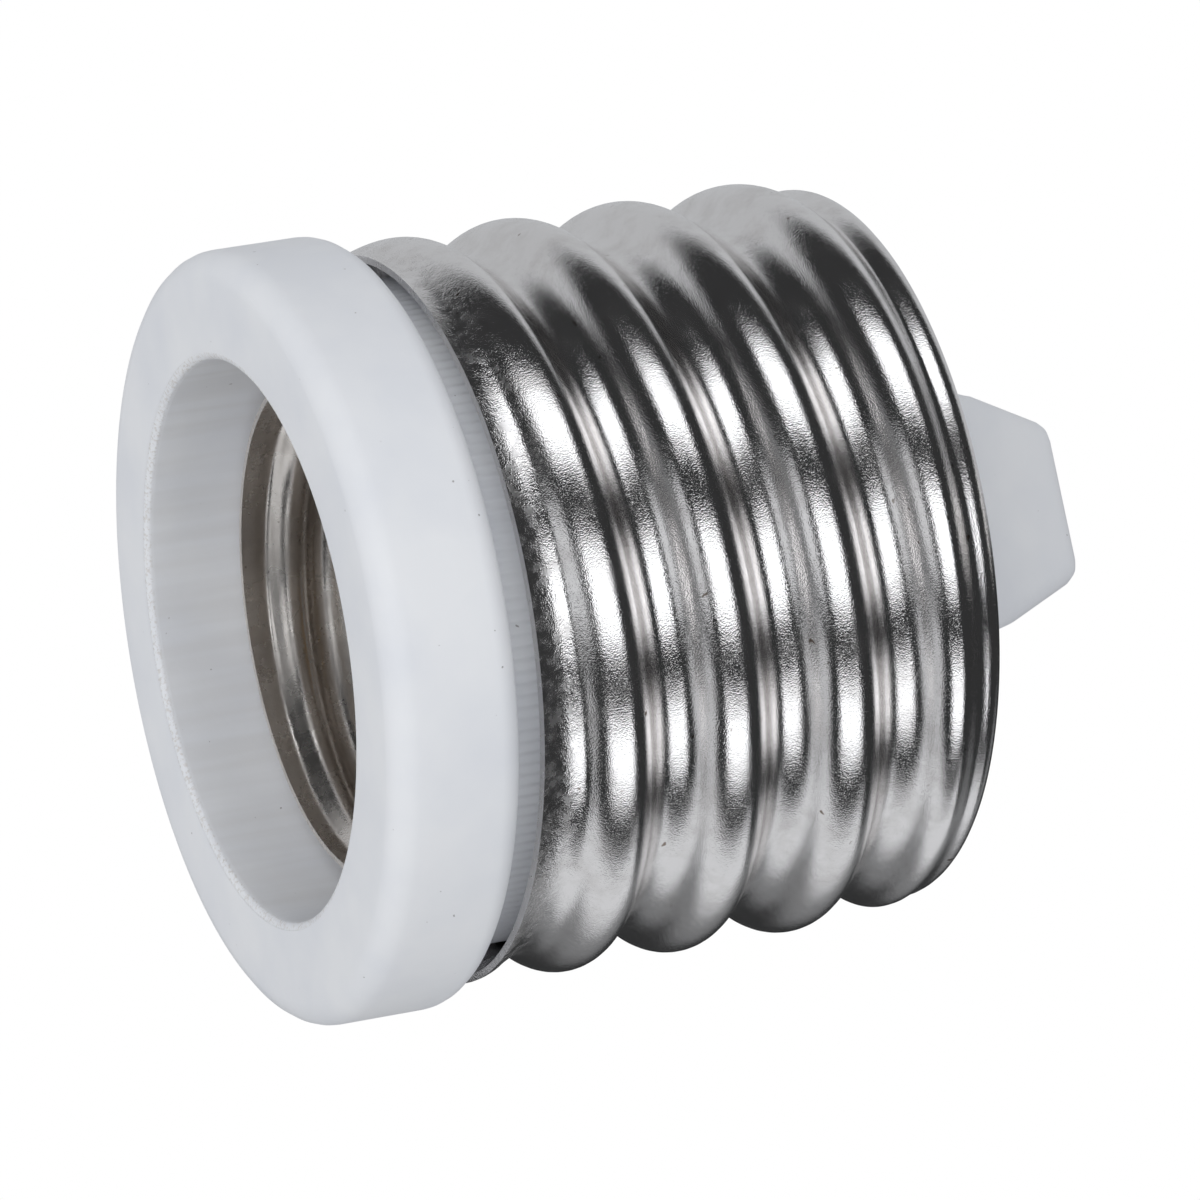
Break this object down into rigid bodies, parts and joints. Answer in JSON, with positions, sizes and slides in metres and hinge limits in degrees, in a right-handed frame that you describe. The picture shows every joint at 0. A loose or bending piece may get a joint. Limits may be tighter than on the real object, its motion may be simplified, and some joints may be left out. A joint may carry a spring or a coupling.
{
  "type": "lamp socket reducer",
  "caption": "Porcelain socket reducer with a large screw shell outside, a medium screw shell in its mouth and a tapered nose with a centre contact; lets a smaller lamp fit a larger lampholder.",
  "frame": {"origin": "centre of the collar's front face, which the reducer stands on", "axes": "+Z along the axis from the mouth to the nose; the nose's flat sides face along X and Y, and the link strap lies towards +Y"},
  "size_m": [0.0406, 0.0406, 0.0459],
  "materials": {
    "porcelain": "matte",
    "nickel_plate": "bright nickel plate",
    "inner_nickel_plate": "dull nickel plate",
    "contact_brass": "satin"
  },
  "bodies": {
    "root": {"ceramic_body": "porcelain", "outer_screw_shell": "nickel_plate", "inner_screw_shell": "inner_nickel_plate", "centre_contact_leaf": "contact_brass", "contact_rivet": "contact_brass", "shell_rivets": "contact_brass", "link_strap": "contact_brass"}
  },
  "joints": []
}
